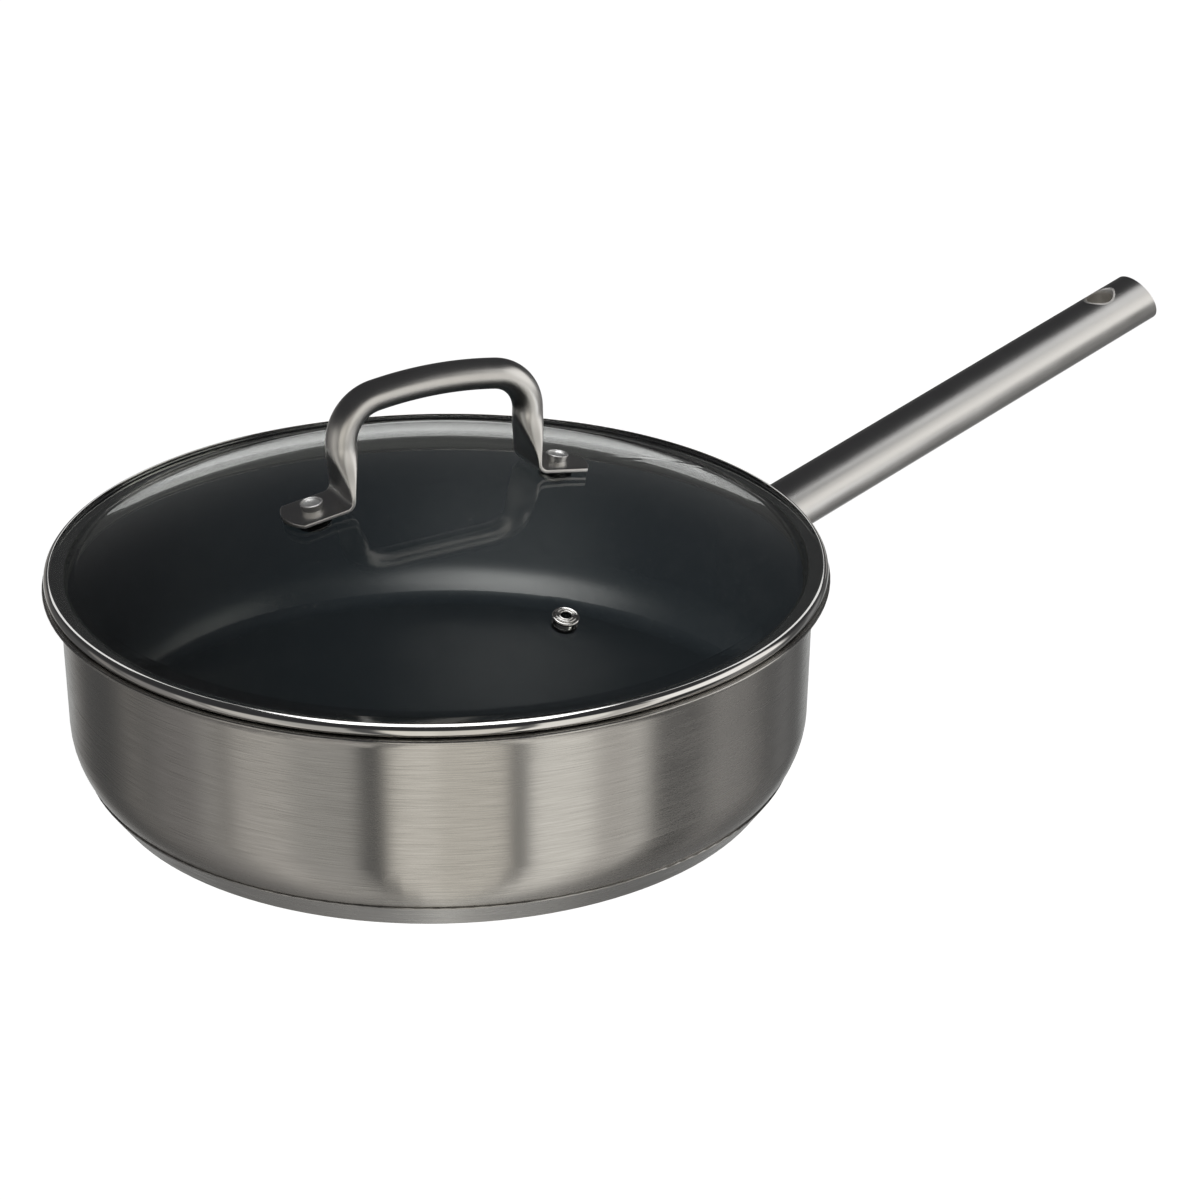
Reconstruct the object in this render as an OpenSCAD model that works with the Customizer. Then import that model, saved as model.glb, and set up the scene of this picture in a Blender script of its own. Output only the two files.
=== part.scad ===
// Saute pan with a glass lid.
// The origin is on the pan's axis, on the underside of the base. The long handle points along +X.

/* [Pan] */
// Height of the rim above the worktop
pan_h = 70.2; // [50:0.1:110]
// Outer radius of the wall just under the flared rim
wall_r = 121.5; // [95:0.1:160]
// Thickness of the pan's steel sheet
wall_t = 1.2; // [0.8:0.1:2]
// Lean of the wall from the vertical, in degrees
wall_draft = 0.9; // [0.2:0.1:3]
// Radius of the hollow under the flared rim
flare_r = 4; // [2.5:0.1:6]
// How far the rim's rounded lip stands out past the wall
lip_reach = 5.5; // [5:0.1:9]
// Radius of the wide corner between wall and base
corner_r = 26; // [20:0.5:34]
// How far the wide corner turns before it reaches the base's seam, in degrees
corner_turn = 35.4; // [28:0.1:42]
// Radius of the tighter bend hidden inside the base
knuckle_r = 8.8; // [6:0.1:12]

/* [Non-stick lining] */
// Thickness of the lining
lining_t = 0.3; // [0.1:0.1:0.8]
// Bare steel between the rim and the lining
lining_drop = 6.7; // [6:0.1:20]

/* [Base] */
// Height of the pan's floor sheet above the worktop
floor_z = 5.5; // [4:0.1:9]
// Thickness of the steel cap under the base
cap_t = 0.6; // [0.4:0.1:1]
// Radius of the cap's rounded lower edge
cap_edge_r = 1.6; // [1.2:0.1:2.4]
// How far the aluminium core stops inside the seam
core_inset = 2.5; // [1.5:0.1:6]

/* [Long handle] */
// Height of the handle's axis where it meets the wall
handle_z = 44.2; // [36:0.1:50]
// Rise of the handle, in degrees
handle_rise = 13; // [4:0.5:20]
// Length of the handle along its axis
handle_len = 212; // [150:1:260]
// Outer radius of the handle tube
tube_r = 9.75; // [8:0.05:12]
// Wall of the handle tube
tube_t = 1.2; // [0.8:0.1:2]
// Lean of the cut at the handle's far end, in degrees
end_lean = 15; // [0:1:25]
// Thickness of the plug that closes the far end
end_plug_t = 2; // [1:0.1:4]
// How far the plug's face lies inside the tube's end
end_plug_inset = 0.3; // [0.1:0.1:1]
// Bore of the hanging hole
hang_d = 9.6; // [6:0.1:11]
// Wall of the sleeve that lines the hanging hole
sleeve_t = 0.8; // [0.5:0.1:1.2]
// Radius of the sleeve's flared mouths
mouth_r = 2; // [0.8:0.1:2.2]
// Distance of the hanging hole from the far end
hang_from_end = 19; // [14:0.5:40]

/* [Handle bracket] */
// Radius of the plate welded to the wall
bracket_r = 14; // [12.5:0.1:15]
// Thickness of the plate
bracket_t = 1.6; // [1:0.1:2.5]
// Length of the spigot inside the tube
spigot_l = 16; // [8:1:30]
// Wall of the spigot
spigot_t = 2; // [1.5:0.1:4]
// Gap between spigot and tube
spigot_fit = 0.1; // [0.05:0.05:0.3]

/* [Lid glass] */
// Thickness of the glass
glass_t = 3.5; // [3:0.1:5]
// Radius of the dome's upper face
dome_r = 284; // [240:1:400]
// Width of the flat margin round the dome
margin_w = 8.3; // [7.5:0.1:14]
// Radius of the hollow between margin and dome
margin_fillet_r = 8; // [5:0.5:15]

/* [Lid band] */
// How far the band's outer edge stays inside the pan's lip
band_inset = 0.7; // [0.2:0.1:2]
// Thickness of the band's sheet
band_t = 0.5; // [0.4:0.05:0.8]
// How far the band is turned over the glass's edge, in degrees above the level of its middle
lip_turn = 70; // [60:1:85]
// Gap between the band and the pan's rim at rest
lid_gap = 0.15; // [0.1:0.05:0.5]
// Gap between the glass and what holds it
seat = 0.05; // [0.02:0.01:0.1]
// Gap between the band's skirt and the pan's wall
skirt_gap = 0.9; // [0.5:0.1:2]
// Depth of the skirt below the rim's level
skirt_h = 5; // [3:0.1:6]
// Radius of the skirt's rolled hem
hem_r = 0.7; // [0.5:0.05:1]
// Inner radius of the bend between flange and skirt
skirt_bend_r = 0.8; // [0.5:0.1:1.2]

/* [Lid handle] */
// Turn of the lid handle from the long handle, in degrees
lid_turn = -10; // [-90:0.1:90]
// Distance of each rivet from the lid's axis
rivet_at = 43.25; // [34:0.25:60]
// Height of the handle's top above the glass under the rivets
grip_h = 42.7; // [34:0.1:60]
// Radius of the handle's tube
grip_r = 5; // [4:0.1:6.5]
// Distance of each leg's axis from the lid's axis
leg_at = 33; // [26:0.5:46]
// Radius of the handle's corners, on the tube's axis
grip_corner_r = 14; // [10:0.5:18]
// Rise of the handle's crowned top towards its middle, in degrees at the corners
grip_crown = 9; // [2:0.5:16]
// Thickness of the flattened foot
foot_t = 1.7; // [1:0.1:2.2]
// Width of the flattened foot
foot_w = 17.8; // [14:0.1:20]
// Distance of the foot's tip from the lid's axis
foot_tip_at = 53.3; // [50:0.1:58]
// Radius of the foot's rounded end
foot_end_r = 14.5; // [10:0.1:20]
// Radius of the bend between foot and leg, on the sheet's axis
foot_bend_r = 3; // [2:0.1:5]
// Length of leg over which the tube is flattened
flatten_l = 17; // [8:0.5:20]

/* [Rivets and seals] */
// Diameter of the rivet's shank
shank_d = 4.5; // [4:0.1:5]
// Diameter of the rivet's head
head_d = 7.4; // [6.4:0.1:8]
// Height of the rivet's head
head_h = 2.3; // [1.5:0.1:4]
// How much narrower the head is at the foot, on each side
head_taper = 0.5; // [0.1:0.1:0.6]
// Radius of the rolled rim round the head's dish
head_rim_r = 0.3; // [0.2:0.05:0.5]
// Depth of the dish in the rivet's head
head_dish = 0.6; // [0.4:0.1:0.8]
// Diameter of the peened end under the lid
tail_d = 7.4; // [6.8:0.1:9]
// Height of the peened end
tail_h = 1.6; // [1:0.1:2.5]
// Gap between the shank and the holes it passes
shank_fit = 0.15; // [0.1:0.05:0.3]
// Diameter of the holes in the glass
glass_hole_d = 7.8; // [7.4:0.1:8.4]
// Diameter of the seals' flanges
seal_d = 11; // [10:0.1:13]
// Thickness of the seal under the foot
seal_t = 0.4; // [0.3:0.1:2]
// Thickness of the seal under the glass
lower_seal_t = 1; // [0.6:0.1:2]
// Depth of each seal's collar in the glass
collar_h = 1.5; // [1:0.1:1.7]
// Gap between a collar and the glass
collar_fit = 0.1; // [0.05:0.05:0.2]
// Thickness of the steel washers under the lid
washer_t = 0.8; // [0.5:0.1:1.5]
// Diameter of the steel washers under the lid
washer_d = 11; // [9.5:0.1:12]

/* [Steam vent] */
// Distance of the vent from the lid's axis
vent_at = 87; // [60:1:100]
// Bore of the vent
vent_d = 3.2; // [2:0.1:3.4]
// Wall of the eyelet's barrel
vent_wall = 0.45; // [0.3:0.05:0.6]
// Diameter of the eyelet's flange
vent_flange_d = 8.4; // [8:0.1:11]
// Radius of the rolled edge round the flange
vent_edge_r = 0.45; // [0.3:0.05:0.5]
// Radius of the raised beads on the flange
vent_bead_r = 0.35; // [0.25:0.05:0.4]
// Distance of the outer raised bead from the vent's axis
vent_bead_at = 2.9; // [2.7:0.05:3.2]
// Thickness of the vent's seal
vent_seal_t = 0.3; // [0.2:0.1:1]
// Diameter of the vent's hole in the glass
vent_hole_d = 5.4; // [4.6:0.1:5.8]
// Diameter of the washer under the glass
vent_washer_d = 8; // [7:0.1:10]
// Radius of the eyelet's turned-over lower end
vent_roll_r = 0.5; // [0.4:0.05:0.6]

/* [Hidden] */
$fn = 120;

// The pan's section: the arcs' centres, from the floor up
flare_z = pan_h - wall_t - flare_r;
flare_x = wall_r + flare_r;
lip_r = wall_r + lip_reach;
out_dir = [cos(corner_turn), -sin(corner_turn)];
corner_z = floor_z + knuckle_r + (corner_r - knuckle_r) * sin(corner_turn);
corner_x = wall_r - (corner_r + sin(wall_draft) * (flare_z - corner_z)) / cos(wall_draft);
corner_c = [corner_x, corner_z];
knuckle_c = corner_c + (corner_r - knuckle_r) * out_dir;
seam = corner_c + corner_r * out_dir;
core_r = seam[0] - core_inset;
lining_top = pan_h - lining_drop;
cap_edge_x = (out_dir * corner_c + corner_r + cap_t - cap_edge_r - out_dir[1] * cap_edge_r) / out_dir[0];

// The long handle
handle_x = wall_r - (flare_z - handle_z) * tan(wall_draft);
hang_at = handle_len - hang_from_end;
tube_reach = handle_len + 4 * tube_r;
blend_over = 2;
plug_r = tube_r - tube_t - spigot_fit;
mouth_turn = 70;
mouth_z = tube_r - mouth_r * sin(mouth_turn);

// The lid's section
lid_r = lip_r - band_inset;
rim_z = pan_h + lid_gap;
nose_r = glass_t / 2 + seat + band_t;
nose_c = [lid_r - nose_r, rim_z + nose_r];
margin_top = nose_c[1] + glass_t / 2;
margin_x = lid_r - margin_w;
dome_z = margin_top - sqrt(pow(dome_r, 2) - pow(margin_x, 2));
fillet_z = margin_top + margin_fillet_r;
fillet_x = sqrt(pow(dome_r + margin_fillet_r, 2) - pow(fillet_z - dome_z, 2));
dome_edge = asin(fillet_x / (dome_r + margin_fillet_r));
skirt_r = wall_r - wall_t - skirt_gap;
arc_over = 0.02;

// The stack under each foot, measured along the glass's normal at the rivet
rivet_lean = asin(rivet_at / dome_r);
foot_low = seat + seal_t;
foot_top = foot_low + foot_t;
stack_low = -glass_t - 2 * seat;
washer_top = stack_low - lower_seal_t;
tail_top = washer_top - washer_t;

// The lid handle's path, in the upright plane through both rivets
foot_in = [cos(180 - rivet_lean), sin(180 - rivet_lean)];
foot_up = [sin(rivet_lean), cos(rivet_lean)];
foot_mid = [0, dome_z] + (dome_r + foot_low + foot_t / 2) * foot_up;
foot_reach = foot_tip_at - rivet_at + foot_t;
bend_x = leg_at + foot_bend_r * (1 - sin(rivet_lean));
foot_in_l = (foot_mid[0] - bend_x) / cos(rivet_lean);
bend_from = foot_mid + foot_in_l * foot_in;
bend_c = bend_from + foot_bend_r * foot_up;
crown_x = leg_at - grip_corner_r * (1 - sin(grip_crown));
crown_r = crown_x / sin(grip_crown);
grip_top_z = dome_z + dome_r * cos(rivet_lean) + grip_h - grip_r;
crown_z = grip_top_z - crown_r;
corner_top_z = crown_z + crown_r * cos(grip_crown) - grip_corner_r * cos(grip_crown);
leg_l = corner_top_z - bend_c[1];

// The steam vent, a quarter turn from the lid handle
vent_lean = asin(vent_at / dome_r);
vent_r = vent_d / 2;
head_r = head_d / 2;
barrel_r = vent_r + vent_wall;
flange_low = seat + vent_seal_t;
flange_t = 2 * vent_wall;
roll_z = stack_low - washer_t - vent_roll_r;

steel = [0.62, 0.61, 0.58];
polished = [0.78, 0.78, 0.77];
lining_colour = [0.09, 0.10, 0.11];
aluminium = [0.72, 0.73, 0.75];
glass_colour = [0.55, 0.62, 0.60, 0.45];
seal_colour = [0.12, 0.12, 0.12];

// A slice of a disc, less than half a turn wide
module pie(r, from, to) {
    mid = (from + to) / 2;
    intersection() {
        circle(r);
        polygon([[0, 0], 2 * r * [cos(from), sin(from)], 2 * r * [cos(mid), sin(mid)],
                 2 * r * [cos(to), sin(to)]]);
    }
}

// A slice of a ring
module ring_pie(r, t, from, to) {
    difference() {
        pie(r, from, to);
        circle(r - t);
    }
}

// The pan's half section, solid from the axis, with its outer face moved in by a distance
module pan_outline(inset) {
    wall_foot = corner_c + (corner_r - inset) * [cos(wall_draft), -sin(wall_draft)];
    within = knuckle_c + knuckle_r / 2 * [sin(corner_turn), -cos(corner_turn)];
    polygon([[0, floor_z + inset], [knuckle_c[0], floor_z + inset], within, wall_foot,
             [wall_r - inset, flare_z], [0, flare_z]]);
    translate(knuckle_c) pie(knuckle_r - inset, -90 - blend_over, -corner_turn + blend_over);
    translate(corner_c) pie(corner_r - inset, -corner_turn, -wall_draft + blend_over);
}

// What lies inside the flare's curve, up to a height above its foot
module flare_outline(inset, h) {
    difference() {
        translate([0, flare_z]) square([flare_x, h]);
        translate([flare_x, flare_z]) circle(flare_r + inset);
    }
}

module pan_body() {
    color(steel) rotate_extrude() difference() {
        union() {
            pan_outline(0);
            flare_outline(0, flare_r + wall_t);
            translate([flare_x, pan_h - wall_t]) square([lip_r - wall_t / 2 - flare_x, wall_t]);
            translate([lip_r - wall_t / 2, pan_h - wall_t / 2]) circle(wall_t / 2);
        }
        pan_outline(wall_t);
        flare_outline(wall_t, flare_r + 2 * wall_t);
    }
}

module nonstick_lining() {
    color(lining_colour) rotate_extrude() intersection() {
        difference() {
            pan_outline(wall_t);
            pan_outline(wall_t + lining_t);
        }
        square([wall_r, lining_top]);
    }
}

// The base's half section below the seam, solid from the axis, moved in by a distance
module base_outline(inset) {
    edge_c = [cap_edge_x, cap_edge_r];
    within = edge_c + cap_edge_r / 4 * [sin(corner_turn), -cos(corner_turn)];
    polygon([[0, inset], [cap_edge_x, inset], within, edge_c + (cap_edge_r - inset) * out_dir,
             corner_c + (corner_r + cap_t - inset) * out_dir, corner_c, [0, corner_z]]);
    translate(edge_c) pie(cap_edge_r - inset, -90 - blend_over, -corner_turn + blend_over);
}

module base_core() {
    color(aluminium) rotate_extrude() intersection() {
        difference() {
            base_outline(cap_t);
            pan_outline(0);
        }
        square([core_r, corner_z]);
    }
}

// The cap's sheet ends at the seam in a full round
module base_cap() {
    end_r = cap_t / 2;
    color(steel) rotate_extrude() {
        difference() {
            base_outline(0);
            base_outline(cap_t);
            translate(corner_c) rotate(-corner_turn) translate([0, -end_r]) square([2 * corner_r, cap_t]);
        }
        translate(corner_c) rotate(-corner_turn) translate([corner_r + end_r, -end_r]) circle(end_r);
    }
}

// Everything inside the wall's cone, with its face moved out by a distance
module wall_cone(out) {
    low = corner_z;
    rise = (flare_z - low) * tan(wall_draft);
    rotate_extrude() polygon([[0, low], [wall_r - rise + out, low], [wall_r + out, flare_z], [0, flare_z]]);
}

// Puts a part on the long handle's axis, which becomes its Z, with the worktop towards its +X
module on_handle(along = 0) {
    translate([handle_x, 0, handle_z]) rotate([0, 90 - handle_rise, 0]) translate([0, 0, along]) children();
}

// A slab across the handle whose faces lean as the far end does
module end_slab(from, t) {
    side = 10 * tube_r;
    on_handle(handle_len) rotate([0, -end_lean, 0]) translate([-side / 2, -side / 2, from]) cube([side, side, t]);
}

module handle_bracket() {
    start = -tube_r;
    color(steel) difference() {
        union() {
            intersection() {
                wall_cone(bracket_t);
                on_handle(start) cylinder(r = bracket_r, h = 4 * tube_r);
            }
            on_handle(start) cylinder(r = plug_r, h = spigot_l - start);
        }
        wall_cone(0);
        on_handle(bracket_t) cylinder(r = plug_r - spigot_t, h = spigot_l);
    }
}

module handle_tube() {
    start = -tube_r;
    color(steel) difference() {
        on_handle(start) cylinder(r = tube_r, h = tube_reach);
        on_handle(start) cylinder(r = tube_r - tube_t, h = tube_reach);
        wall_cone(bracket_t);
        end_slab(0, 8 * tube_r);
        hanging_bore(hang_d / 2 + sleeve_t);
    }
}

// A bore on the hanging hole's axis, through the whole tube, that widens at both mouths
module hanging_bore(r) {
    reach = mouth_z + mouth_r;
    on_handle(hang_at) rotate([0, 90, 0]) rotate_extrude() {
        translate([0, -reach]) square([r, 2 * reach]);
        for (side = [0, 1]) mirror([0, side]) translate([0, mouth_z]) difference() {
            square([r + mouth_r, mouth_r]);
            translate([r + mouth_r, 0]) circle(mouth_r);
        }
    }
}

module hanging_sleeve() {
    color(polished) intersection() {
        difference() {
            hanging_bore(hang_d / 2 + sleeve_t);
            hanging_bore(hang_d / 2);
        }
        on_handle() cylinder(r = tube_r, h = handle_len);
    }
}

module handle_end_plug() {
    color(steel) intersection() {
        on_handle() cylinder(r = plug_r, h = tube_reach);
        end_slab(-end_plug_inset - end_plug_t, end_plug_t);
    }
}

// Puts a part on the dome's upper face at a lean from the axis, with its +Z out of the glass
module on_dome(lean) {
    translate([0, 0, dome_z]) rotate([0, lean, 0]) translate([0, 0, dome_r]) children();
}

// Repeats a part at both rivets
module at_rivets() {
    for (side = [0, 180])
        rotate([0, 0, lid_turn + side]) on_dome(rivet_lean) children();
}

module at_vent() {
    rotate([0, 0, lid_turn - 90]) on_dome(vent_lean) children();
}

// A plain hole through the glass
module glass_hole(d) {
    translate([0, 0, -2 * glass_t]) cylinder(d = d, h = 3 * glass_t);
}

module lid_glass() {
    color(glass_colour) difference() {
        rotate_extrude() {
            translate([0, dome_z]) ring_pie(dome_r, glass_t, 90 - dome_edge - arc_over, 90);
            translate([fillet_x, fillet_z])
                ring_pie(margin_fillet_r + glass_t, glass_t, 270 - dome_edge, 270);
            translate([fillet_x, margin_top - glass_t]) square([nose_c[0] - fillet_x, glass_t]);
            translate(nose_c) circle(glass_t / 2);
        }
        at_rivets() glass_hole(glass_hole_d);
        at_vent() glass_hole(vent_hole_d);
    }
}

module lid_band() {
    bend_at = [skirt_r + skirt_bend_r, rim_z - skirt_bend_r];
    color(polished) rotate_extrude() {
        translate(nose_c) ring_pie(nose_r, band_t, -90, lip_turn);
        translate(nose_c) rotate(lip_turn) translate([nose_r - band_t / 2, 0]) circle(band_t / 2);
        translate([bend_at[0], rim_z]) square([nose_c[0] - bend_at[0], band_t]);
        translate(bend_at) ring_pie(skirt_bend_r + band_t, band_t, 90, 180);
        translate([skirt_r - band_t, rim_z - skirt_h]) square([band_t, skirt_h - skirt_bend_r]);
        translate([skirt_r - hem_r, rim_z - skirt_h]) circle(hem_r);
    }
}

// Smooth passage from 0 to 1
function ease(t) = t * t * (3 - 2 * t);

// One half of the lid handle's path, from beyond the foot's tip to the middle of the top. Each
// station is [distance from the axis, height, heading in degrees, flatness from 0 to 1]
bend_steps = 5;
leg_steps = 10;
corner_steps = 8;
crown_steps = 4;
half_path = concat(
    [let (p = foot_mid - foot_reach * foot_in) [p[0], p[1], 180 - rivet_lean, 1]],
    [for (i = [0 : bend_steps])
        let (a = 180 - rivet_lean - (90 - rivet_lean) * i / bend_steps)
        [bend_c[0] - foot_bend_r * sin(a), bend_c[1] + foot_bend_r * cos(a), a, 1]],
    [for (i = [1 : leg_steps])
        let (h = leg_l * i / leg_steps)
        [leg_at, bend_c[1] + h, 90, 1 - ease(min(1, h / min(flatten_l, leg_l)))]],
    [for (i = [1 : corner_steps])
        let (a = (90 - grip_crown) * i / corner_steps)
        [leg_at - grip_corner_r * (1 - cos(a)), corner_top_z + grip_corner_r * sin(a), 90 + a, 0]],
    [for (i = [1 : crown_steps])
        let (a = grip_crown * (1 - i / crown_steps))
        [crown_r * sin(a), crown_z + crown_r * cos(a), 180 - a, 0]]
);
half_n = len(half_path);
grip_path = concat(half_path,
    [for (i = [half_n - 2 : -1 : 0])
        let (s = half_path[i]) [-s[0], s[1], 360 - s[2], s[3]]]);

// A point of the tube's section at an angle: round where the flatness is 0, a flat bar where it is 1
function bar_power(flat) = 2 / (2 + 5 * flat);
function signed_pow(v, e) = sign(v) * pow(abs(v), e);
function section_point(s, a) =
    let (half_t = grip_r + (foot_t / 2 - grip_r) * s[3],
         half_w = grip_r + (foot_w / 2 - grip_r) * s[3],
         u = half_t * signed_pow(cos(a), bar_power(s[3])),
         v = half_w * signed_pow(sin(a), bar_power(s[3])))
    [s[0] + u * sin(s[2]), v, s[1] - u * cos(s[2])];

ring_n = 24;
module grip_sweep() {
    n = len(grip_path);
    points = [for (s = grip_path) for (k = [0 : ring_n - 1]) section_point(s, 360 * (k + 0.5) / ring_n)];
    sides = [for (i = [0 : n - 2]) for (k = [0 : ring_n - 1])
        let (a = i * ring_n + k, b = i * ring_n + (k + 1) % ring_n)
        each [[a, b, b + ring_n], [a, b + ring_n, a + ring_n]]];
    tip = [for (k = [ring_n - 1 : -1 : 0]) k];
    tail = [for (k = [0 : ring_n - 1]) (n - 1) * ring_n + k];
    polyhedron(points, concat([tip], sides, [tail]), convexity = 6);
}

// The lid handle seen from above: its feet end in arcs
module grip_trim() {
    end_c = foot_tip_at - foot_end_r;
    linear_extrude(grip_top_z + 2 * grip_r) {
        translate([-end_c, -foot_end_r]) square(2 * [end_c, foot_end_r]);
        for (side = [-1, 1]) translate([side * end_c, 0]) circle(foot_end_r);
    }
}

module lid_handle() {
    color(steel) difference() {
        rotate([0, 0, lid_turn]) intersection() {
            grip_sweep();
            grip_trim();
        }
        at_rivets() translate([0, 0, foot_low - foot_t]) cylinder(d = shank_d + 2 * shank_fit, h = 3 * foot_t);
    }
}

// The rivet's half section: a dished head with a rolled rim, the shank and the peened end
module lid_rivets() {
    head_top = foot_top + head_h;
    rim_at = [head_r - head_rim_r, head_top - head_rim_r];
    color(polished) at_rivets() rotate_extrude() {
        polygon([[0, foot_top], [head_r - head_taper, foot_top], [head_r, rim_at[1]], rim_at,
                 [rim_at[0] - head_rim_r, rim_at[1]], [rim_at[0] - head_dish, head_top - head_dish],
                 [0, head_top - head_dish]]);
        translate(rim_at) circle(head_rim_r);
        translate([0, tail_top]) square([shank_d / 2, foot_top + head_h / 2 - tail_top]);
        polygon([[0, tail_top - tail_h], [tail_d / 2 - tail_h / 2, tail_top - tail_h],
                 [tail_d / 2, tail_top - tail_h / 2], [tail_d / 2, tail_top], [0, tail_top]]);
    }
}

// A flanged seal: its collar lies in the glass and its flange on the glass
module seal(flange_t, hole_d) {
    difference() {
        union() {
            cylinder(d = seal_d, h = flange_t);
            translate([0, 0, -collar_h]) cylinder(d = glass_hole_d - 2 * collar_fit, h = collar_h + flange_t);
        }
        translate([0, 0, -2 * collar_h]) cylinder(d = hole_d, h = 4 * collar_h + flange_t);
    }
}

module foot_seals() {
    color(seal_colour) at_rivets() translate([0, 0, seat]) seal(seal_t, shank_d + 2 * shank_fit);
}

module lower_seals() {
    color(seal_colour) at_rivets() translate([0, 0, stack_low]) mirror([0, 0, 1])
        seal(lower_seal_t, shank_d + 2 * shank_fit);
}

module lower_washers() {
    color(polished) at_rivets() translate([0, 0, tail_top]) difference() {
        cylinder(d = washer_d, h = washer_t);
        translate([0, 0, -washer_t]) cylinder(d = shank_d + 2 * shank_fit, h = 3 * washer_t);
    }
}

module vent_eyelet() {
    edge_at = [vent_flange_d / 2 - vent_edge_r, flange_low + vent_edge_r];
    flange_top = flange_low + flange_t;
    color(polished) at_vent() rotate_extrude() {
        translate([vent_r, flange_low]) square([vent_bead_at - vent_r, flange_t]);
        translate([vent_r, flange_low]) square([edge_at[0] - vent_r, vent_wall]);
        translate(edge_at) circle(vent_edge_r);
        translate([vent_bead_at, flange_top]) circle(vent_bead_r);
        translate([vent_r + vent_bead_r, flange_top]) circle(vent_bead_r);
        translate([vent_r, roll_z]) square([vent_wall, flange_top - roll_z]);
        translate([barrel_r, roll_z]) square([vent_roll_r, vent_roll_r]);
        translate([barrel_r + vent_roll_r, roll_z]) circle(vent_roll_r);
    }
}

module vent_seal() {
    color(seal_colour) at_vent() difference() {
        union() {
            translate([0, 0, seat]) cylinder(d = vent_flange_d - vent_edge_r, h = vent_seal_t);
            translate([0, 0, seat - collar_h])
                cylinder(d = vent_hole_d - 2 * collar_fit, h = collar_h + vent_seal_t);
        }
        translate([0, 0, -2 * collar_h]) cylinder(r = barrel_r + collar_fit, h = 4 * collar_h);
    }
}

module vent_washer() {
    color(polished) at_vent() translate([0, 0, stack_low - washer_t]) difference() {
        cylinder(d = vent_washer_d, h = washer_t);
        translate([0, 0, -washer_t]) cylinder(r = barrel_r + collar_fit, h = 3 * washer_t);
    }
}

pan_body();
nonstick_lining();
base_core();
base_cap();
handle_bracket();
handle_tube();
hanging_sleeve();
handle_end_plug();
lid_glass();
lid_band();
lid_handle();
lid_rivets();
foot_seals();
lower_seals();
lower_washers();
vent_eyelet();
vent_seal();
vent_washer();
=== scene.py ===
import math

import bpy
from mathutils import Matrix, Vector


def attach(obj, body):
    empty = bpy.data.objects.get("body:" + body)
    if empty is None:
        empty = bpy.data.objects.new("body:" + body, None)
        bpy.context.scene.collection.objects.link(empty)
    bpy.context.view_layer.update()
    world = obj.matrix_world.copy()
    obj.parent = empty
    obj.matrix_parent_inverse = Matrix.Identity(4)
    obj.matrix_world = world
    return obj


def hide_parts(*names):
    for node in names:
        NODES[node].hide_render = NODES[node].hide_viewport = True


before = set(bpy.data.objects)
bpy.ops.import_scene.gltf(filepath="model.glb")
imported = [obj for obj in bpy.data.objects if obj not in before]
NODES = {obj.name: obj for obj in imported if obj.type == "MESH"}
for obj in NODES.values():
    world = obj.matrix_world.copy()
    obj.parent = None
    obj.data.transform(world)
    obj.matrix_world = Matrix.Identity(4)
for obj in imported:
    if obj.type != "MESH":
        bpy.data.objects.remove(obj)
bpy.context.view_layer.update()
CAMERA_SIDE = -125.92
MM = 0.001


# Camera

def make_camera():
    """The photo's viewpoint, 27 degrees up as seen from the base's centre, with a 99 mm lens."""
    distance, height = 0.9803, 0.5010
    yaw, pitch, roll = math.radians(3.074), math.radians(24.34), math.radians(0.327)
    turn = Matrix.Rotation(math.radians(CAMERA_SIDE + 90.0), 3, "Z")
    place = turn @ Vector((0.0, -distance, height))
    level = math.cos(pitch)
    ahead = turn @ Vector((math.sin(yaw) * level, math.cos(yaw) * level, -math.sin(pitch)))
    right = ahead.cross(Vector((0, 0, 1))).normalized()
    up = right.cross(ahead)
    rolled_right = right * math.cos(roll) + up * math.sin(roll)
    rolled_up = up * math.cos(roll) - right * math.sin(roll)
    data = bpy.data.cameras.new("camera")
    data.lens = 99.0
    data.sensor_width = 36.0
    data.clip_start = 0.05
    data.clip_end = 120.0
    camera = bpy.data.objects.new("camera", data)
    bpy.context.collection.objects.link(camera)
    basis = Matrix((rolled_right, rolled_up, -ahead)).transposed().to_4x4()
    camera.matrix_world = Matrix.Translation(place) @ basis
    bpy.context.scene.camera = camera


# Node helpers

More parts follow.
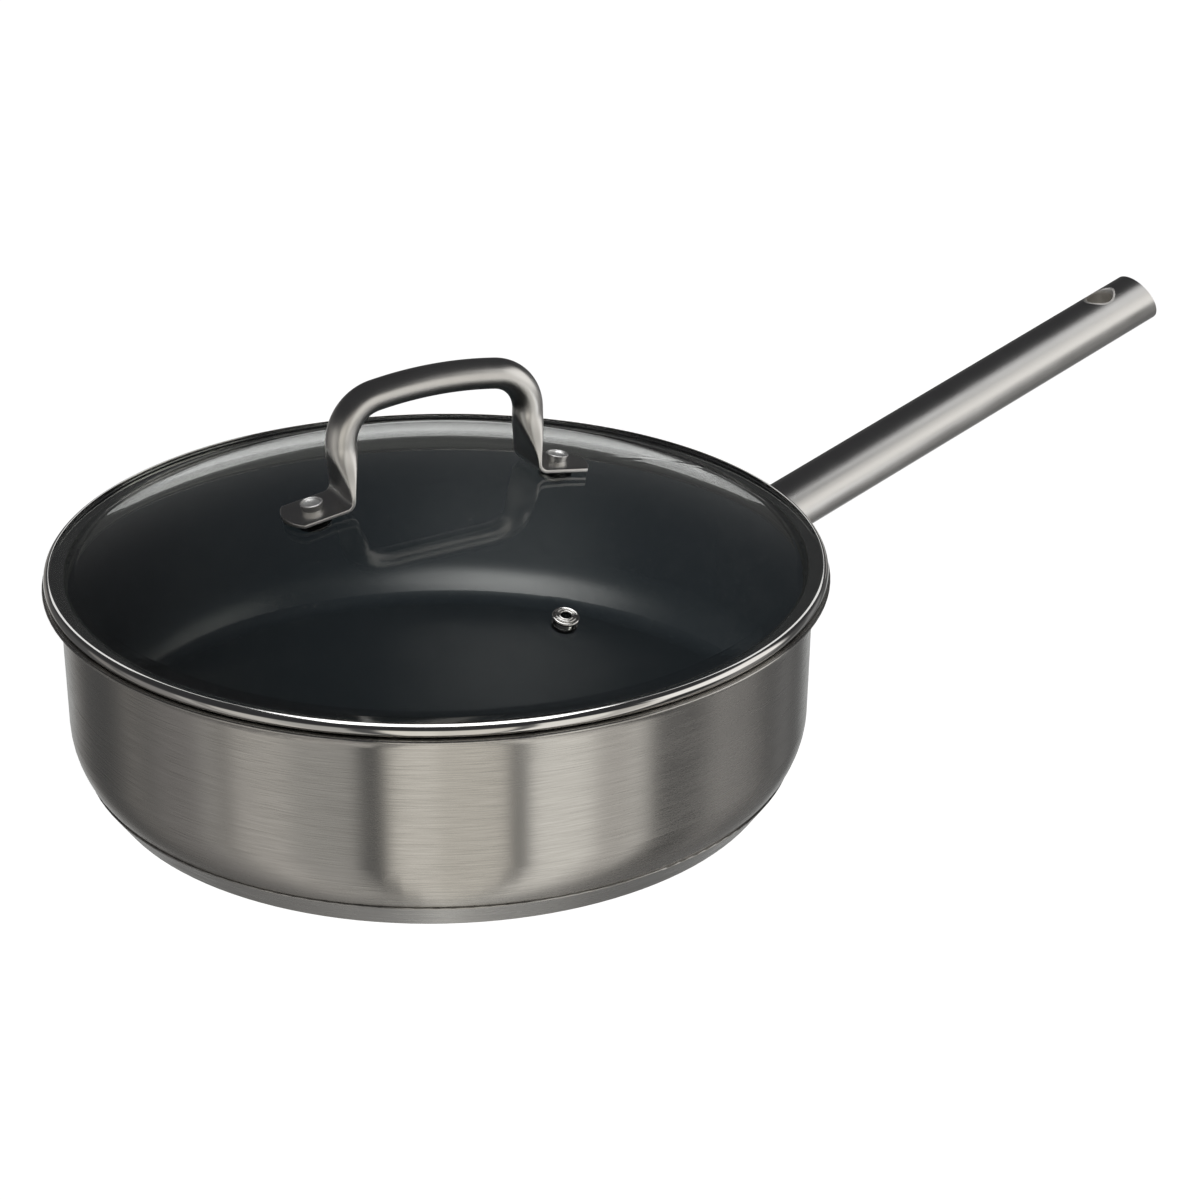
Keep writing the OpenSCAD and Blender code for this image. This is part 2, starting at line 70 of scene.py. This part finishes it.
class Tree:
    """A node tree with short ways to add what the materials and the studio need."""

    def __init__(self, tree):
        self.tree = tree

    def node(self, kind, **sets):
        made = self.tree.nodes.new(kind)
        for key, value in sets.items():
            setattr(made, key, value)
        return made

    def link(self, out, to):
        self.tree.links.new(out, to)

    def feed(self, socket, value):
        if isinstance(value, bpy.types.NodeSocket):
            self.link(value, socket)
        else:
            socket.default_value = value

    def math(self, op, a, b=0.0):
        made = self.node("ShaderNodeMath", operation=op)
        for socket, value in zip(made.inputs, (a, b)):
            self.feed(socket, value)
        return made.outputs[0]

    def split(self, vector):
        made = self.node("ShaderNodeSeparateXYZ")
        self.feed(made.inputs[0], vector)
        return made.outputs

    def join(self, x, y, z):
        made = self.node("ShaderNodeCombineXYZ")
        for socket, value in zip(made.inputs, (x, y, z)):
            self.feed(socket, value)
        return made.outputs[0]

    def noise(self, vector, scale=1.0, detail=2.0, rough=0.5, distortion=0.0):
        made = self.node("ShaderNodeTexNoise")
        self.feed(made.inputs["Vector"], vector)
        made.inputs["Scale"].default_value = scale
        made.inputs["Detail"].default_value = detail
        made.inputs["Roughness"].default_value = rough
        made.inputs["Distortion"].default_value = distortion
        return made.outputs["Fac"]

    def remap(self, value, low, high, to_low=0.0, to_high=1.0, smooth=False):
        made = self.node("ShaderNodeMapRange", interpolation_type="SMOOTHSTEP" if smooth else "LINEAR")
        self.feed(made.inputs["Value"], value)
        for key, number in (("From Min", low), ("From Max", high), ("To Min", to_low), ("To Max", to_high)):
            made.inputs[key].default_value = number
        return made.outputs["Result"]

    def mix(self, factor, a, b):
        made = self.node("ShaderNodeMix", data_type="RGBA")
        for socket, value in zip((made.inputs[0], made.inputs[6], made.inputs[7]), (factor, a, b)):
            self.feed(socket, value)
        return made.outputs[2]


class Shader(Tree):
    """A material with a Principled shader."""

    def __init__(self, name):
        self.mat = bpy.data.materials.new(name)
        self.mat.use_nodes = True
        super().__init__(self.mat.node_tree)
        self.bsdf = self.tree.nodes["Principled BSDF"]

    def place(self):
        """The point in the part's own frame, in metres."""
        return self.node("ShaderNodeTexCoord").outputs["Object"]

    def radius(self, x, y):
        """The distance from the pan's axis."""
        return self.math("SQRT", self.math("ADD", self.math("MULTIPLY", x, x), self.math("MULTIPLY", y, y)))

    def bump(self, height, strength, distance):
        made = self.node("ShaderNodeBump")
        made.inputs["Strength"].default_value = strength
        made.inputs["Distance"].default_value = distance
        self.feed(made.inputs["Height"], height)
        self.link(made.outputs["Normal"], self.bsdf.inputs["Normal"])

    def set(self, **values):
        for key, value in values.items():
            self.feed(self.bsdf.inputs[key.replace("_", " ")], value)


def rgb(red, green, blue):
    """An opaque colour."""
    return (red, green, blue, 1.0)


# Materials

def turned_steel(name, colour, dark, rough, grain):
    """Steel brushed round the pan's axis: fine, short hairlines, faint longer ones and soft clouds."""
    s = Shader(name)
    x, y, z = s.split(s.place())
    radius = s.radius(x, y)
    along = s.math("SUBTRACT", z, radius)

    def lines(reach, width):
        stretched = s.join(s.math("MULTIPLY", x, 1.0 / reach), s.math("MULTIPLY", y, 1.0 / reach),
                           s.math("MULTIPLY", along, 1.0 / width))
        return s.noise(stretched, detail=2.0, rough=0.6)

    fine = lines(reach=0.011, width=0.00024)
    long = lines(reach=0.035, width=0.00050)
    cloud = s.noise(s.place(), scale=30.0, detail=3.0)
    hair = s.math("ADD", s.math("MULTIPLY", fine, 0.6), s.math("MULTIPLY", long, 0.4))
    s.set(Base_Color=s.mix(s.remap(hair, 0.3, 0.7), dark, colour), Metallic=1.0, Anisotropic=0.95)
    s.set(Roughness=s.math("ADD", s.remap(hair, 0.35, 0.65, rough + 0.04, rough - 0.03),
                           s.remap(cloud, 0.3, 0.7, -0.02, 0.02)))
    s.bump(hair, strength=grain, distance=0.00002)
    tangent = s.node("ShaderNodeTangent", direction_type="RADIAL", axis="Z")
    s.link(tangent.outputs[0], s.bsdf.inputs["Tangent"])
    s.bsdf.inputs["Anisotropic Rotation"].default_value = 0.25
    return s.mat


def satin_steel(name, colour, dark, rough, grain=0.05):
    """Satin steel with faint clouds and hairline scratches."""
    s = Shader(name)
    cloud = s.noise(s.place(), scale=60.0, detail=4.0, rough=0.6)
    hair = s.noise(s.place(), scale=900.0, detail=2.0)
    s.set(Base_Color=s.mix(s.remap(cloud, 0.3, 0.7), dark, colour), Metallic=1.0)
    s.set(Roughness=s.remap(cloud, 0.3, 0.7, rough - 0.03, rough + 0.04))
    s.bump(hair, strength=grain, distance=0.00001)
    return s.mat


def band_steel(name):
    """Polished steel of the lid's band, duller on the skirt's inside, which the glass shows, and darker there
    with painted shade.
    """
    s = Shader(name)
    x, y, _ = s.split(s.place())
    radius = s.radius(x, y)
    skirt_inside = 0.1198
    # Mask of the skirt's inside: painted shade darkens it to a dull grey, and it is made rougher
    skirt_shade = s.remap(radius, skirt_inside, skirt_inside + 0.0003, 1.0, 0.0)
    cloud = s.noise(s.place(), scale=60.0, detail=4.0, rough=0.6)
    polished = s.mix(s.remap(cloud, 0.3, 0.7), rgb(0.74, 0.73, 0.71), rgb(0.80, 0.79, 0.77))
    s.set(Base_Color=s.mix(skirt_shade, polished, rgb(0.20, 0.21, 0.19)), Metallic=1.0)
    s.set(Roughness=s.math("ADD", s.remap(cloud, 0.3, 0.7, 0.05, 0.12), s.math("MULTIPLY", skirt_shade, 0.25)))
    s.bump(s.noise(s.place(), scale=900.0, detail=2.0), strength=0.02, distance=0.00001)
    return s.mat


def coating(name):
    """Dark satin non-stick coating with a fine orange-peel surface and pale specks."""
    s = Shader(name)
    peel = s.noise(s.place(), scale=900.0, detail=3.0)
    speck = s.remap(s.noise(s.place(), scale=700.0, detail=1.0), 0.72, 0.76)
    s.set(Base_Color=s.mix(speck, rgb(0.012, 0.017, 0.021), rgb(0.05, 0.055, 0.055)), Roughness=0.32)
    s.bsdf.inputs["Specular IOR Level"].default_value = 1.0
    s.bump(peel, strength=0.2, distance=0.00004)
    return s.mat


def clear_glass(name):
    """Tempered glass, faintly green, with a slight film."""
    s = Shader(name)
    x, y, _ = s.split(s.place())
    radius = s.radius(x, y)
    turn = s.math("ARCTAN2", y, x)
    swirl = s.join(s.math("MULTIPLY", radius, 160.0), s.math("MULTIPLY", turn, 6.0), 0.0)
    film = s.noise(swirl, detail=6.0, rough=0.65, distortion=0.4)
    s.set(Base_Color=rgb(0.95, 0.97, 0.95), Roughness=s.remap(film, 0.5, 0.75, 0.0, 0.012), IOR=1.5)
    s.set(Transmission_Weight=s.remap(film, 0.5, 0.75, 1.0, 0.975))
    return s.mat


def plain(name, colour, dark, rough, metal=0.0):
    """A quiet surface with a little variation of tone and gloss."""
    s = Shader(name)
    cloud = s.noise(s.place(), scale=120.0, detail=3.0)
    s.set(Base_Color=s.mix(s.remap(cloud, 0.3, 0.7), dark, colour), Metallic=metal,
          Roughness=s.remap(cloud, 0.3, 0.7, rough - 0.04, rough + 0.06))
    s.bump(cloud, strength=0.05, distance=0.0001)
    return s.mat


def assign(mat, *names):
    """Put one material on the nodes named."""
    for name in names:
        mesh = NODES[name].data
        mesh.materials.clear()
        mesh.materials.append(mat)


# Pieces that take a solid's place

def add_mesh(name, verts, faces, mat):
    """A smooth piece of one material."""
    mesh = bpy.data.meshes.new(name)
    mesh.from_pydata(verts, [], faces)
    mesh.shade_smooth()
    mesh.update()
    mesh.materials.append(mat)
    piece = bpy.data.objects.new(name, mesh)
    bpy.context.collection.objects.link(piece)
    return piece


# The lid handle, swept more finely than its solid

# The solid's sizes, in mm, with angles in radians
LID_TURN = math.radians(-10.0)
DOME_R = 284.0
MARGIN_R, MARGIN_TOP = 118.0, 74.4
DOME_Z = MARGIN_TOP - math.sqrt(DOME_R ** 2 - MARGIN_R ** 2)
RIVET_AT = 43.25
FOOT_LOW, FOOT_T, FOOT_W = 0.45, 1.7, 17.8
TIP_AT, END_R = 53.3, 14.5
TUBE_R, LEG_AT, CORNER_R, BEND_R = 5.0, 33.0, 14.0, 3.0
CROWN = math.radians(9.0)
FLATTEN_L, GRIP_H = 17.0, 42.7


def grip_path():
    """Half of the handle's middle line, in the lid's section and in mm, from a foot's tip to the crown.

    Each point holds x, z, the tube's heading and how flat the tube is, from 0 to 1."""
    lean = math.asin(RIVET_AT / DOME_R)
    inward = Vector((-math.cos(lean), math.sin(lean)))
    up = Vector((math.sin(lean), math.cos(lean)))
    mid = Vector((0.0, DOME_Z)) + up * (DOME_R + FOOT_LOW + FOOT_T / 2)
    bend_x = LEG_AT + BEND_R * (1 - math.sin(lean))
    bend_from = mid + inward * ((mid.x - bend_x) / math.cos(lean))
    bend_c = bend_from + up * BEND_R
    crown_x = LEG_AT - CORNER_R * (1 - math.sin(CROWN))
    crown_r = crown_x / math.sin(CROWN)
    top_z = DOME_Z + DOME_R * math.cos(lean) + GRIP_H - TUBE_R
    crown_z = top_z - crown_r
    corner_z = crown_z + (crown_r - CORNER_R) * math.cos(CROWN)
    leg_l = corner_z - bend_c.y
    tip_l = (TIP_AT - mid.x) / math.cos(lean)
    foot_steps, bend_steps, leg_steps, corner_steps, crown_steps = 40, 14, 30, 24, 16
    tip_gap = 0.001
    half = []
    for i in range(foot_steps + 1):
        k = 1 - math.cos(math.pi / 2 * i / foot_steps)
        p = mid - inward * (tip_l - tip_gap) + inward * ((tip_l + (mid - bend_from).length) * k)
        half.append((p.x, p.y, math.pi - lean, 1.0))
    for i in range(1, bend_steps + 1):
        a = math.pi - lean - (math.pi / 2 - lean) * i / bend_steps
        half.append((bend_c.x - BEND_R * math.sin(a), bend_c.y + BEND_R * math.cos(a), a, 1.0))
    for i in range(1, leg_steps + 1):
        h = leg_l * i / leg_steps
        t = min(1.0, h / min(FLATTEN_L, leg_l))
        half.append((LEG_AT, bend_c.y + h, math.pi / 2, 1 - t * t * (3 - 2 * t)))
    for i in range(1, corner_steps + 1):
        a = (math.pi / 2 - CROWN) * i / corner_steps
        x = LEG_AT - CORNER_R * (1 - math.cos(a))
        half.append((x, corner_z + CORNER_R * math.sin(a), math.pi / 2 + a, 0.0))
    for i in range(1, crown_steps + 1):
        a = CROWN * (1 - i / crown_steps)
        half.append((crown_r * math.sin(a), crown_z + crown_r * math.cos(a), math.pi - a, 0.0))
    return half


def make_grip(mat):
    """A bent tube whose legs are flattened into feet, on the solid's own path and sizes."""
    half = grip_path()
    path = half + [(-x, z, 2 * math.pi - a, f) for x, z, a, f in half[-2::-1]]
    round_steps = 72
    squareness = 5
    least_w = 0.05
    verts, faces = [], []
    for x, z, heading, flat in path:
        over = abs(x) - (TIP_AT - END_R)
        reach = math.sqrt(max(END_R ** 2 - over ** 2, 0.0)) if over > 0 else END_R
        half_t = TUBE_R + (FOOT_T / 2 - TUBE_R) * flat
        half_w = min(TUBE_R + (FOOT_W / 2 - TUBE_R) * flat, max(reach, least_w))
        power = 2 / (2 + squareness * flat)
        for k in range(round_steps):
            a = 2 * math.pi * (k + 0.5) / round_steps
            u = half_t * math.copysign(abs(math.cos(a)) ** power, math.cos(a))
            v = half_w * math.copysign(abs(math.sin(a)) ** power, math.sin(a))
            px, py, pz = x + u * math.sin(heading), v, z - u * math.cos(heading)
            verts.append((MM * (px * math.cos(LID_TURN) - py * math.sin(LID_TURN)),
                          MM * (px * math.sin(LID_TURN) + py * math.cos(LID_TURN)), MM * pz))
    for i in range(len(path) - 1):
        for k in range(round_steps):
            a, b = i * round_steps + k, i * round_steps + (k + 1) % round_steps
            faces.append((a, b, b + round_steps, a + round_steps))
    faces.append(tuple(range(round_steps - 1, -1, -1)))
    faces.append(tuple(range((len(path) - 1) * round_steps, len(path) * round_steps)))
    piece = add_mesh("grip", verts, faces, mat)
    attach(piece, "lid")
    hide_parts("lid_handle")
    return piece


# Turned pieces

def arc(cx, cz, r, start, end, steps):
    """Points of an arc in a section, in mm."""
    return [(cx + r * math.cos(math.radians(start + (end - start) * i / steps)),
             cz + r * math.sin(math.radians(start + (end - start) * i / steps))) for i in range(steps + 1)]


def make_band(mat):
    """The lid's band, turned more finely than its solid, on the solid's own section."""
    nose_x, nose_z, nose_r, nose_in = 124.0, 72.65, 2.3, 1.8
    nose_end = 70
    lip_r = (nose_r - nose_in) / 2
    mid_r = (nose_r + nose_in) / 2
    bend_x, bend_z, bend_r, bend_in = 120.2, 69.55, 1.3, 0.8
    hem_x, hem_z, hem_r, hem_from = 118.7, 65.35, 0.7, 73.4
    lip_x = nose_x + mid_r * math.cos(math.radians(nose_end))
    lip_z = nose_z + mid_r * math.sin(math.radians(nose_end))
    section = arc(nose_x, nose_z, nose_r, -90, nose_end, 40)
    section += arc(lip_x, lip_z, lip_r, nose_end, nose_end + 180, 12)[1:]
    section += arc(nose_x, nose_z, nose_in, nose_end, -90, 24)[1:]
    section += arc(bend_x, bend_z, bend_r, 90, 180, 8)
    section += arc(hem_x, hem_z, hem_r, hem_from, 360, 20)
    section += arc(bend_x, bend_z, bend_in, 180, 90, 8)
    turns = 720
    verts = []
    for i in range(turns):
        a = 2 * math.pi * i / turns
        verts += [(MM * r * math.cos(a), MM * r * math.sin(a), MM * z) for r, z in section]
    m = len(section)
    faces = [(i * m + k, (i + 1) % turns * m + k, (i + 1) % turns * m + (k + 1) % m, i * m + (k + 1) % m)
             for i in range(turns) for k in range(m)]
    piece = add_mesh("band", verts, faces, mat)
    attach(piece, "lid")
    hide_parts("lid_band")
    return piece


# Light

# Soft panels of the studio: centre and half width round the pan from the camera's side, in degrees,
# soft edge, lowest and highest elevation with their soft edge, and colour
PANELS = [
    (0, 98, 10, -90, 0, 10, (0.14, 0.138, 0.135)),
    (-84, 9, 6, -90, 0, 10, (0.24, 0.23, 0.225)),
    (-51, 24, 3, -90, 0, 10, (0.42, 0.41, 0.39)),
    (-57, 8, 5, -90, 0, 10, (0.54, 0.52, 0.49)),
    (-68, 1, 3, -90, 0, 10, (0.22, 0.21, 0.20)),
    (-21, 1, 3, -90, 0, 10, (0.08, 0.08, 0.08)),
    (-107, 4, 2, -90, 0, 8, (0.23, 0.22, 0.21)),
    (-150, 6, 5, -90, 0, 8, (0.24, 0.23, 0.22)),
    (2, 17, 3, -90, 0, 10, (0.72, 0.69, 0.63)),
    (-8, 5, 4, -90, 0, 10, (0.82, 0.79, 0.73)),
    (38, 10, 3, -90, 10, 12, (0.90, 0.88, 0.83)),
    (62, 5, 4, -90, 10, 12, (0.82, 0.80, 0.76)),
    (53, 4, 4, -90, 10, 12, (0.56, 0.54, 0.51)),
    (77, 9, 5, -90, -14, 8, (0.04, 0.04, 0.04)),
    (87, 20, 8, -3, 28, 10, (1.05, 1.03, 1.00)),
    (101, 8, 5, -90, -10, 8, (0.21, 0.205, 0.20)),
    (131, 4, 4, -90, 0, 10, (0.21, 0.21, 0.21)),
    (180, 22, 12, -90, -17, 5, (0.60, 0.61, 0.61)),
]


def make_world():
    """A dim studio with soft panels round the pan, dark overhead."""
    world = bpy.data.worlds.new("studio")
    bpy.context.scene.world = world
    world.use_nodes = True
    t = Tree(world.node_tree)
    t.tree.nodes.clear()
    dark_low, dark_high = rgb(0.09, 0.09, 0.09), rgb(0.036, 0.036, 0.038)
    turn = t.node("ShaderNodeVectorRotate", rotation_type="Z_AXIS")
    turn.inputs["Angle"].default_value = math.radians(-CAMERA_SIDE)
    t.link(t.node("ShaderNodeTexCoord").outputs["Generated"], turn.inputs["Vector"])
    x, y, z = t.split(turn.outputs[0])
    side = t.math("MULTIPLY", t.math("ARCTAN2", y, x), math.degrees(1.0))
    height = t.math("MULTIPLY", t.math("ARCSINE", z), math.degrees(1.0))
    colour = t.mix(t.remap(height, -5.0, 25.0, smooth=True), dark_low, dark_high)
    for centre, half, soft, low, high, soft_h, tone in PANELS:
        off = t.math("ABSOLUTE", t.math("SUBTRACT", side, float(centre)))
        # Straight behind the pan the angle jumps from 180 to -180
        if centre == 180:
            off = t.math("SUBTRACT", 180.0, t.math("ABSOLUTE", side))
        part = t.remap(off, half, half + soft, 1.0, 0.0, smooth=True)
        above = t.remap(height, low - soft_h, low, smooth=True)
        below = t.remap(height, high, high + soft_h, 1.0, 0.0, smooth=True)
        part = t.math("MULTIPLY", part, t.math("MULTIPLY", above, below))
        colour = t.mix(part, colour, rgb(*tone))
    back = t.node("ShaderNodeBackground")
    t.link(colour, back.inputs["Color"])
    t.link(back.outputs[0], t.node("ShaderNodeOutputWorld").inputs[0])


def make_lamp(name, side, height, distance, width, depth, power, lit):
    """A soft lamp that points at the pan; only the pieces given are lit by it and shade it.

    Side and height are degrees, from the camera's side and above the floor; lengths are metres."""
    data = bpy.data.lights.new(name, "AREA")
    data.shape = "RECTANGLE"
    data.size, data.size_y, data.energy = width, depth, power
    lamp = bpy.data.objects.new(name, data)
    bpy.context.collection.objects.link(lamp)
    aim = Vector((0, 0, 0.05))
    a, e = math.radians(side + CAMERA_SIDE), math.radians(height)
    way = Vector((math.cos(a) * math.cos(e), math.sin(a) * math.cos(e), math.sin(e)))
    lamp.location = way * distance + aim
    lamp.rotation_euler = way.to_track_quat("Z", "Y").to_euler()
    lamp.visible_camera = False
    group = bpy.data.collections.new(name + "_lit")
    for piece in lit:
        group.objects.link(piece)
    lamp.light_linking.receiver_collection = group
    lamp.light_linking.blocker_collection = group


def make_floor():
    """A white floor that lights the pan a little and shows only a faint contact shadow."""
    r = 40.0
    mesh = bpy.data.meshes.new("floor")
    mesh.from_pydata([(-r, -r, 0), (r, -r, 0), (r, r, 0), (-r, r, 0)], [], [(0, 1, 2, 3)])
    floor = bpy.data.objects.new("floor", mesh)
    bpy.context.collection.objects.link(floor)
    s = Shader("floor_white")
    s.set(Base_Color=rgb(0.9, 0.9, 0.9), Roughness=0.9)
    s.set(Emission_Color=rgb(1.0, 1.0, 1.0), Emission_Strength=0.97)
    mesh.materials.append(s.mat)
    floor.visible_glossy = False


# The scene

def dress():
    """Give the nodes their materials, and make the two pieces that take a node's place."""
    steel = turned_steel("body_steel", rgb(0.68, 0.665, 0.64), rgb(0.56, 0.545, 0.52), rough=0.25, grain=0.3)
    cap = turned_steel("cap_steel", rgb(0.64, 0.63, 0.61), rgb(0.52, 0.51, 0.50), rough=0.28, grain=0.25)
    # The handle steel is lighter than the body steel: painted light, standing in for the brighter reflections
    # that the raised handles catch
    handle = satin_steel("handle_steel", rgb(0.82, 0.81, 0.79), rgb(0.76, 0.75, 0.73), rough=0.32)
    bright = satin_steel("bright_steel", rgb(0.80, 0.79, 0.77), rgb(0.74, 0.73, 0.71), rough=0.08, grain=0.02)
    rivet = satin_steel("rivet_metal", rgb(0.92, 0.92, 0.91), rgb(0.86, 0.86, 0.85), rough=0.42, grain=0.03)
    sleeve = satin_steel("sleeve_steel", rgb(0.86, 0.84, 0.81), rgb(0.78, 0.76, 0.73), rough=0.5, grain=0.03)
    rubber = plain("seal_rubber", rgb(0.03, 0.03, 0.03), rgb(0.02, 0.02, 0.02), rough=0.5)
    aluminium = plain("core_aluminium", rgb(0.75, 0.75, 0.76), rgb(0.6, 0.6, 0.61), rough=0.45, metal=1.0)
    assign(steel, "pan_body")
    assign(cap, "base_cap")
    assign(handle, "handle_tube", "handle_bracket", "handle_end_plug")
    assign(bright, "lower_washers", "vent_eyelet", "vent_washer")
    assign(rivet, "lid_rivets")
    assign(sleeve, "hanging_sleeve")
    assign(coating("coating"), "nonstick_lining")
    assign(clear_glass("clear_glass"), "lid_glass")
    assign(rubber, "foot_seals", "lower_seals", "vent_seal")
    assign(aluminium, "base_core")
    return make_grip(handle), make_band(band_steel("band_steel"))


def make_lamps(grip, band):
    """One lamp or two for each group of pieces that the panels alone leave too dark."""
    lining = NODES["nonstick_lining"]
    tube = [NODES["handle_tube"], NODES["handle_end_plug"]]
    small = [NODES["vent_eyelet"], NODES["lid_rivets"], NODES["hanging_sleeve"]]
    make_lamp("overhead", side=0.0, height=88.0, distance=1.4, width=1.1, depth=1.1, power=10.0,
              lit=[band] + small)
    make_lamp("front", side=-25.0, height=29.0, distance=1.6, width=1.5, depth=0.4, power=30.0, lit=[lining])
    make_lamp("back", side=180.0, height=40.0, distance=1.5, width=2.4, depth=1.0, power=7.0, lit=[band])
    make_lamp("high", side=95.0, height=42.0, distance=1.5, width=0.8, depth=0.6, power=1.3, lit=tube)
    make_lamp("low", side=75.0, height=-24.0, distance=1.2, width=0.45, depth=0.6, power=0.9,
              lit=tube + [grip])


bpy.context.scene.view_settings.view_transform = "Standard"
make_camera()
grip, band = dress()
make_world()
make_lamps(grip, band)
make_floor()
